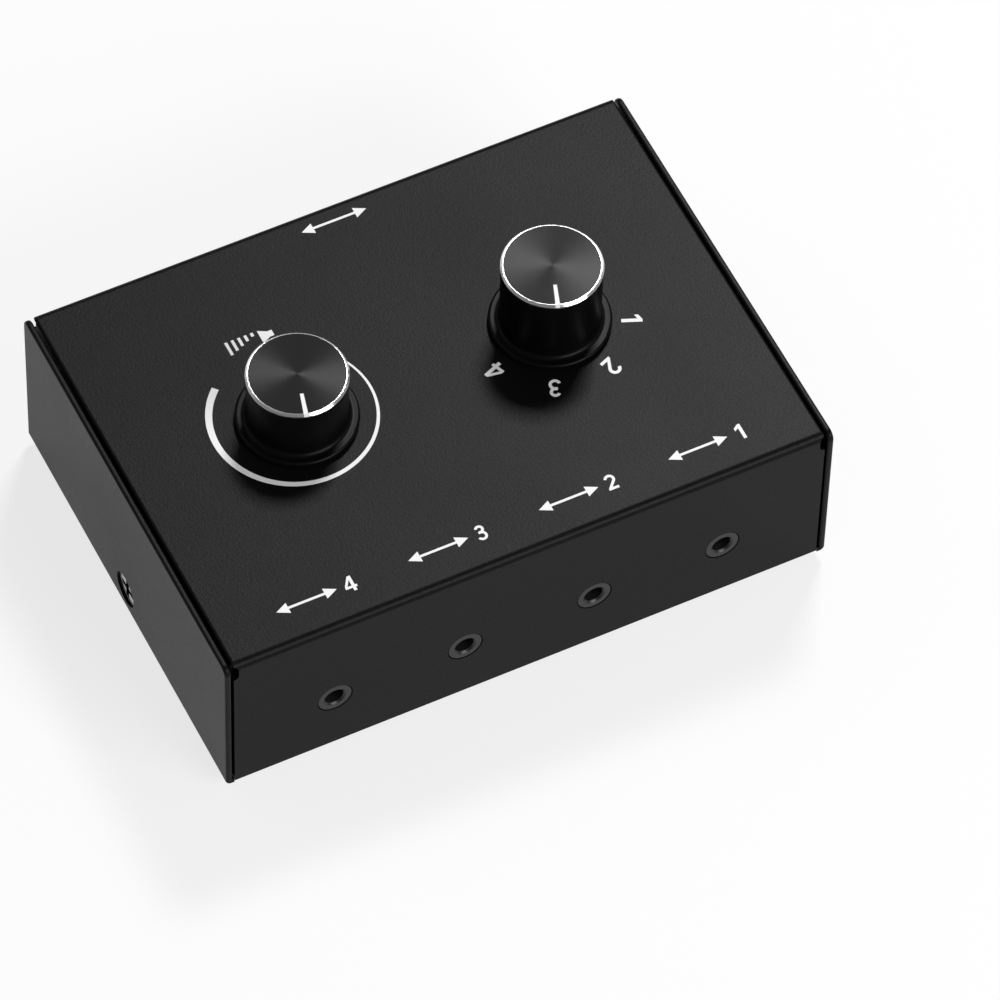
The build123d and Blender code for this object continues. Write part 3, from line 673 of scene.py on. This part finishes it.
def tapered_arc(material, radius, sweep, thick, thin, height):
    """Rule for a flat arc that narrows evenly. It starts at its thick end, half the sweep back."""
    rule = Rule("tapered_arc", material, Radius=radius, Sweep=sweep, Thick=thick, Thin=thin,
                Height=height, Steps=240)
    inputs = {"Size X": 1.0, "Size Y": 1.0, "Vertices X": rule.given("Steps"), "Vertices Y": 2}
    grid = rule.node("GeometryNodeMeshGrid", None, inputs)
    place = rule.node("GeometryNodeInputPosition")
    along, aside = rule.axis(place, "X"), rule.axis(place, "Y")
    angle = along * rule.given("Sweep")
    share = along + 0.5
    width = rule.given("Thick") - (rule.given("Thick") - rule.given("Thin")) * share
    reach = rule.given("Radius") - aside * width
    x = reach * rule.math("SINE", angle)
    y = reach * rule.math("COSINE", angle) * -1.0
    inputs = {"Geometry": grid, "Position": rule.point(x, y)}
    base = rule.node("GeometryNodeSetPosition", None, inputs)
    inputs = {"Mesh": base, "Offset": rule.point(z=1.0), "Offset Scale": rule.given("Height"),
              "Individual": False}
    raised = rule.node("GeometryNodeExtrudeMesh", None, inputs)
    under = rule.node("GeometryNodeFlipFaces", None, {"Mesh": base})
    shell = rule.node("GeometryNodeJoinGeometry", None, {"Geometry": raised})
    rule.plug(under, shell.socket.node.inputs["Geometry"])
    inputs = {"Geometry": shell, "Distance": SAME_POINT}
    return rule.finish(rule.node("GeometryNodeMergeByDistance", None, inputs))


def row_of_copies(material, pitch, count):
    """Rule that repeats its mesh along X, centred on the origin."""
    rule = Rule("row_of_copies", material, Pitch=pitch, Count=count)
    first = (rule.given("Count") - 1) * rule.given("Pitch") * -0.5
    points = rule.line(rule.point(rule.given("Pitch")), rule.point(first))
    return rule.finish(rule.copies(points, rule.given("Geometry")))


def rising_bars(material, count, pitch, width, lowest, highest, height):
    """Rule for a row of upright bars on Y = 0 that rise evenly along X."""
    rule = Rule("rising_bars", material, Count=count, Pitch=pitch, Width=width,
                Lowest=lowest, Highest=highest, Height=height)
    share = rule.node("GeometryNodeInputIndex") / (rule.given("Count") - 1)
    tall = rule.given("Lowest") + (rule.given("Highest") - rule.given("Lowest")) * share
    lift = rule.point(0.0, tall * 0.5, rule.given("Height") * 0.5)
    inputs = {"Geometry": rule.line(rule.point(rule.given("Pitch"))), "Offset": lift}
    points = rule.node("GeometryNodeSetPosition", None, inputs)
    block = rule.node("GeometryNodeMeshCube", None, {"Size": (1.0, 1.0, 1.0)})
    size = rule.point(rule.given("Width"), tall, rule.given("Height"))
    return rule.finish(rule.copies(points, block, size))


def solder_fillets(material, radius, height):
    """Rule that sets a small solder cone, wide side on the board, at each vertex of its mesh."""
    rule = Rule("solder_fillets", material, Radius=radius, Height=height)
    cone = rule.node(
        "GeometryNodeMeshCone", None,
        {"Vertices": 20, "Side Segments": 3, "Radius Top": rule.given("Radius") * 0.4,
         "Radius Bottom": rule.given("Radius"), "Depth": rule.given("Height")})
    return rule.finish(rule.copies(rule.given("Geometry"), cone))


# ---------------------------------------------------------------- stage


def lay_floor(colour):
    """White floor that keeps the object's shadow but shows as plain white."""
    finish = Finish("studio_floor", Base_Color=colour, Roughness=0.9, Specular_IOR_Level=0.1)
    seen, mirrored, passed = (
        finish.node("ShaderNodeLightPath", output=ray)
        for ray in ("Is Camera Ray", "Is Glossy Ray", "Is Transmission Ray"))
    glow = finish.node("ShaderNodeEmission", None, {"Color": (1, 1, 1), "Strength": 1.0})
    glow_share = 0.76
    shown = (seen + mirrored + passed) * glow_share
    painted = Signal(finish, finish.shader.outputs[0])
    mixed = finish.node("ShaderNodeMixShader", None, {0: shown, 1: painted, 2: glow})
    finish.plug(mixed, finish.tree.nodes["Material Output"].inputs["Surface"])
    mesh = bpy.data.meshes.new("floor")
    reach = 6.0
    corners = [(-reach, -reach, 0), (reach, -reach, 0), (reach, reach, 0), (-reach, reach, 0)]
    mesh.from_pydata(corners, [], [(0, 1, 2, 3)])
    mesh.materials.append(finish.material)
    floor = bpy.data.objects.new("floor", mesh)
    bpy.context.scene.collection.objects.link(floor)


def hang_lamp(name, place, size, power):
    """Soft lamp, size wide and high, that faces the object."""
    lamp = bpy.data.lights.new(name, "AREA")
    lamp.shape = "RECTANGLE"
    lamp.size, lamp.size_y = size
    lamp.energy = power
    holder = bpy.data.objects.new(name, lamp)
    holder.location = place
    holder.rotation_euler = Vector(place).to_track_quat("Z", "Y").to_euler()
    bpy.context.scene.collection.objects.link(holder)


def light_sky(strength):
    """Plain white surroundings."""
    world = bpy.data.worlds.new("surroundings")
    world.use_nodes = True
    background = world.node_tree.nodes["Background"]
    background.inputs["Color"].default_value = (1, 1, 1, 1)
    background.inputs["Strength"].default_value = strength
    bpy.context.scene.world = world


def stand_camera(view):
    """Camera in front of the left corner, looking down at the lid."""
    forward = Vector((
        math.sin(view.azimuth) * math.cos(view.elevation),
        math.cos(view.azimuth) * math.cos(view.elevation),
        -math.sin(view.elevation),
    ))
    level = forward.cross(Vector((0, 0, 1))).normalized()
    upright = level.cross(forward)
    right = math.cos(view.roll) * level + math.sin(view.roll) * upright
    up = math.cos(view.roll) * upright - math.sin(view.roll) * level
    target = Vector((0, 0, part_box("base_tray")[0].z))
    place = target - view.distance * forward - view.shift_right * right - view.shift_up * up
    camera = bpy.data.cameras.new("studio_camera")
    camera.sensor_width = 36
    camera.lens = view.lens
    camera.clip_start = 0.01
    holder = bpy.data.objects.new("studio_camera", camera)
    turn = Matrix((right, up, -forward)).transposed().to_4x4()
    holder.matrix_world = Matrix.Translation(place) @ turn
    bpy.context.scene.collection.objects.link(holder)
    bpy.context.scene.camera = holder


# ---------------------------------------------------------------- operators


class SWITCHBOX_OT_enclosure(Operator):
    """Powder coat the tray and the cover, finish the side screws with painted shade in their cross
    recesses, and mould the rubber feet
    """

    bl_idname = "switchbox.enclosure"
    bl_label = "Finish Enclosure"

    def execute(self, context):
        colours = context.scene.switchbox_colours
        screw = screw_with_painted_recess_shade(
            (0.42, 0.42, 0.43), middle("side_screws"), slot_width=1.2 * MM, slot_reach=2.3 * MM)
        zinc = bare_metal("bright_zinc", (0.62, 0.62, 0.60), 0.30)
        dress(powder_coat(colours.powder), "base_tray", "cover_shell")
        dress(screw, "side_screws")
        dress(zinc, "clinch_nuts", "selector_index_spring")
        dress(black_rubber(), "rubber_feet")
        return {"FINISHED"}


class SWITCHBOX_OT_knobs(Operator):
    """Give the knobs their black mouldings, spun discs with bright rims, and white pointers"""

    bl_idname = "switchbox.knobs"
    bl_label = "Finish Knobs"

    def execute(self, context):
        colours = context.scene.switchbox_colours
        moulding = moulded_black("knob_moulding", colours.knob, 0.38, 0.002 * MM, gleam=0.1)
        paint = screen_ink(colours.ink)
        for knob, axis in (("volume", VOLUME_AXIS), ("selector", SELECTOR_AXIS)):
            low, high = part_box(f"{knob}_knob_cap")
            disc_radius = (high.x - low.x) / 2 - colours.rim_chamfer
            disc = spun_disc(f"{knob}_spun_disc", axis, colours.disc, colours.rim, disc_radius)
            dress(moulding, f"{knob}_knob_body")
            dress(disc, f"{knob}_knob_cap")
            dress(paint, f"{knob}_knob_pointer")
        return {"FINISHED"}


class SWITCHBOX_OT_jacks(Operator):
    """Mould the five jacks and plate their contact springs and the controls' terminals"""

    bl_idname = "switchbox.jacks"
    bl_label = "Finish Jacks"

    def execute(self, context):
        moulding = moulded_black("jack_moulding", (0.012, 0.012, 0.012), 0.34, 0.004 * MM)
        plating = bare_metal("contact_plating", (0.82, 0.68, 0.36), 0.22)
        for jack in JACKS:
            dress(moulding, f"{jack}_housing")
            dress(plating, f"{jack}_contacts")
        dress(plating, "volume_pot_terminals", "selector_switch_terminals", "selector_switch_wiper")
        return {"FINISHED"}


class SWITCHBOX_OT_inner_works(Operator):
    """Finish the board, the volume control and the rotary switch inside the box"""

    bl_idname = "switchbox.inner_works"
    bl_label = "Finish Inner Works"

    def execute(self, context):
        nickel = bare_metal("bright_nickel", (0.70, 0.69, 0.66), 0.20)
        sheet = phenolic("phenolic_sheet", (0.15, 0.08, 0.04))
        case = moulded_black("case_moulding", (0.03, 0.03, 0.032), 0.42, 0.006 * MM)
        acetal = moulded_black("acetal", (0.66, 0.65, 0.61), 0.38, 0.004 * MM)
        shaft = bare_metal("turned_shaft", (0.74, 0.74, 0.75), 0.24, turned=True)
        dress(solder_mask((0.02, 0.13, 0.06)), "circuit_board")
        dress(sheet, "volume_pot_tracks", "selector_switch_wafer")
        dress(acetal, "volume_pot_wipers", "selector_switch_rotor")
        dress(nickel, "selector_index_ball")
        for control in ("volume_pot", "selector_switch"):
            dress(case, f"{control}_case")
            dress(shaft, f"{control}_shaft")
            dress(nickel, f"{control}_bushing", f"{control}_washer", f"{control}_nut")
        return {"FINISHED"}


class SWITCHBOX_OT_solder(Operator):
    """Solder the terminals and contact legs to the board"""

    bl_idname = "switchbox.solder"
    bl_label = "Solder Joints"

    def execute(self, context):
        solder = bare_metal("solder", (0.66, 0.67, 0.68), 0.26)
        fillet = solder_fillets(solder, radius=0.95 * MM, height=0.6 * MM)
        above_board = 0.5 * MM
        contacts = [f"{jack}_contacts" for jack in JACKS]
        terminals = ["volume_pot_terminals", "selector_switch_terminals"]
        for name, face, side, nodes in (
                ("solder_top", BOARD_TOPSIDE, 1, contacts),
                ("solder_underside", BOARD_UNDERSIDE, -1, terminals)):
            spots = []
            for node in nodes:
                spots += leg_middles(node, face + side * above_board)
            seeds = bpy.data.meshes.new("solder_spots")
            seeds.from_pydata([(x, y, 0) for x, y in spots], [], [])
            mesh = fillet.grow(seeds)
            mesh.transform(Matrix.Translation((0, 0, face)) @ Matrix.Scale(side, 4, (0, 0, 1)))
            if side < 0:
                mesh.flip_normals()
            new_piece(name, mesh, solder)
        return {"FINISHED"}


class SWITCHBOX_OT_jack_labels(Operator):
    """Print a double arrow and a figure behind each front jack, and an arrow at the rear jack"""

    bl_idname = "switchbox.jack_labels"
    bl_label = "Print Jack Labels"

    def execute(self, context):
        sizes = context.scene.switchbox_prints
        ink = bpy.data.materials["screen_ink"]
        arrow_shift, figure_shift, rear_shift = -2.1 * MM, 6.2 * MM, -0.1 * MM
        arrow = slab(arrow_outline(sizes.label_length), sizes.ink_height)
        pitch = (JACK_XS[-1] - JACK_XS[0]) / (len(JACK_XS) - 1)
        arrows = row_of_copies(ink, pitch, len(JACK_XS)).grow(arrow)
        arrows.transform(turned_to(arrow_shift, sizes.label_y, LID))
        new_piece("front_label_arrows", arrows, ink)
        figures = []
        for number, x in enumerate(reversed(JACK_XS), start=1):
            figure = figure_mesh(number, sizes.figure_height, sizes.ink_height)
            figure.transform(turned_to(x + figure_shift, sizes.label_y, LID))
            figures.append(figure)
        new_piece("front_label_figures", joined(figures), ink)
        rear = slab(arrow_outline(sizes.rear_label_length), sizes.ink_height)
        rear.transform(turned_to(rear_shift, sizes.rear_label_y, LID, math.pi))
        new_piece("rear_label_arrow", rear, ink)
        return {"FINISHED"}


class SWITCHBOX_OT_selector_figures(Operator):
    """Print the four selector positions round the selector knob"""

    bl_idname = "switchbox.selector_figures"
    bl_label = "Print Selector Figures"

    def execute(self, context):
        sizes = context.scene.switchbox_prints
        ink = bpy.data.materials["screen_ink"]
        centre = SELECTOR_AXIS + Vector((-0.1 * MM, 0, 0))
        positions = 4
        figures = []
        for n in range(positions):
            angle = ((positions - 1) / 2 - n) * sizes.selector_step - math.pi / 2
            figure = figure_mesh(n + 1, sizes.position_height, sizes.ink_height)
            x = centre.x + sizes.selector_radius * math.cos(angle)
            y = centre.y + sizes.selector_radius * math.sin(angle)
            figure.transform(turned_to(x, y, LID, angle - math.pi / 2))
            figures.append(figure)
        new_piece("selector_figures", joined(figures), ink)
        return {"FINISHED"}


class SWITCHBOX_OT_volume_marks(Operator):
    """Print the tapered arc round the volume knob, and the loudspeaker mark behind it"""

    bl_idname = "switchbox.volume_marks"
    bl_label = "Print Volume Marks"

    def execute(self, context):
        sizes = context.scene.switchbox_prints
        ink = bpy.data.materials["screen_ink"]
        arc_x, arc_y = VOLUME_AXIS.x - 0.3 * MM, VOLUME_AXIS.y + 0.9 * MM
        rule = tapered_arc(ink, sizes.arc_radius, sizes.arc_sweep, sizes.arc_thick, sizes.arc_thin,
                           sizes.ink_height)
        arc = rule.grow(bpy.data.meshes.new("arc_seed"))
        arc.transform(turned_to(arc_x, arc_y, LID))
        new_piece("volume_arc", arc, ink)

        # loudspeaker and rising bars, drawn upright, then turned to read from the back of the box
        mark_x, mark_y = VOLUME_AXIS.x - 0.5 * MM, VOLUME_AXIS.y + 18.9 * MM
        base, left, first_bar = -1.5 * MM, -4.7 * MM, 3.6 * MM
        horn = [(0, 0.85), (0.9, 0.85), (2.5, 0), (2.5, 3.0), (0.9, 2.15), (0, 2.15)]
        loudspeaker = slab([(left + x * MM, base + y * MM) for x, y in horn], sizes.ink_height)
        rule = rising_bars(ink, sizes.bar_count, pitch=1.25 * MM, width=0.55 * MM,
                           lowest=0.8 * MM, highest=3.0 * MM, height=sizes.ink_height)
        bars = rule.grow(bpy.data.meshes.new("bar_seed"))
        bars.transform(turned_to(left + first_bar, base, 0))
        mark = joined([loudspeaker, bars])
        mark.transform(turned_to(mark_x, mark_y, LID, math.pi))
        new_piece("loudspeaker_mark", mark, ink)
        return {"FINISHED"}


class SWITCHBOX_OT_stage(Operator):
    """Lay the pale floor, hang the soft lamps and stand the camera"""

    bl_idname = "switchbox.stage"
    bl_label = "Set Stage"

    def execute(self, context):
        view = context.scene.switchbox_view
        lay_floor(context.scene.switchbox_colours.floor)
        hang_lamp("key_lamp", (0.750, 0.822, 1.541), (0.40, 0.36), view.key_power)
        hang_lamp("side_lamp", (-0.72, 0.69, 0.84), (0.5, 0.5), view.side_power)
        hang_lamp("front_lamp", (0.45, -1.10, 0.75), (0.90, 0.50), view.front_power)
        light_sky(view.sky)
        stand_camera(view)
        context.scene.view_settings.view_transform = "Standard"
        return {"FINISHED"}


# ---------------------------------------------------------------- panel and registration


OPERATORS = (
    SWITCHBOX_OT_enclosure,
    SWITCHBOX_OT_knobs,
    SWITCHBOX_OT_jacks,
    SWITCHBOX_OT_inner_works,
    SWITCHBOX_OT_solder,
    SWITCHBOX_OT_jack_labels,
    SWITCHBOX_OT_selector_figures,
    SWITCHBOX_OT_volume_marks,
    SWITCHBOX_OT_stage,
)


class SWITCHBOX_PT_panel(Panel):
    """Sizes, colours and build steps of the selector switch"""

    bl_idname = "SWITCHBOX_PT_panel"
    bl_label = "Selector Switch"
    bl_space_type = "VIEW_3D"
    bl_region_type = "UI"
    bl_category = "Switch Box"

    def draw(self, context):
        scene = context.scene
        for settings in (scene.switchbox_prints, scene.switchbox_colours, scene.switchbox_view):
            column = self.layout.column(align=True)
            for name in settings.__annotations__:
                column.prop(settings, name)
        column = self.layout.column()
        for operator in OPERATORS:
            column.operator(operator.bl_idname)


CLASSES = (PrintSizes, FinishColours, StudioView, *OPERATORS, SWITCHBOX_PT_panel)


def register():
    """Makes the classes known and hangs the settings on the scene."""
    for cls in CLASSES:
        bpy.utils.register_class(cls)
    bpy.types.Scene.switchbox_prints = PointerProperty(type=PrintSizes)
    bpy.types.Scene.switchbox_colours = PointerProperty(type=FinishColours)
    bpy.types.Scene.switchbox_view = PointerProperty(type=StudioView)


def unregister():
    """Takes the settings and the classes away again."""
    del bpy.types.Scene.switchbox_view
    del bpy.types.Scene.switchbox_colours
    del bpy.types.Scene.switchbox_prints
    for cls in reversed(CLASSES):
        bpy.utils.unregister_class(cls)


def main():
    """Builds the finished object step by step."""
    register()
    for operator in OPERATORS:
        category, name = operator.bl_idname.split(".")
        getattr(getattr(bpy.ops, category), name)()


if __name__ == "__main__":
    main()
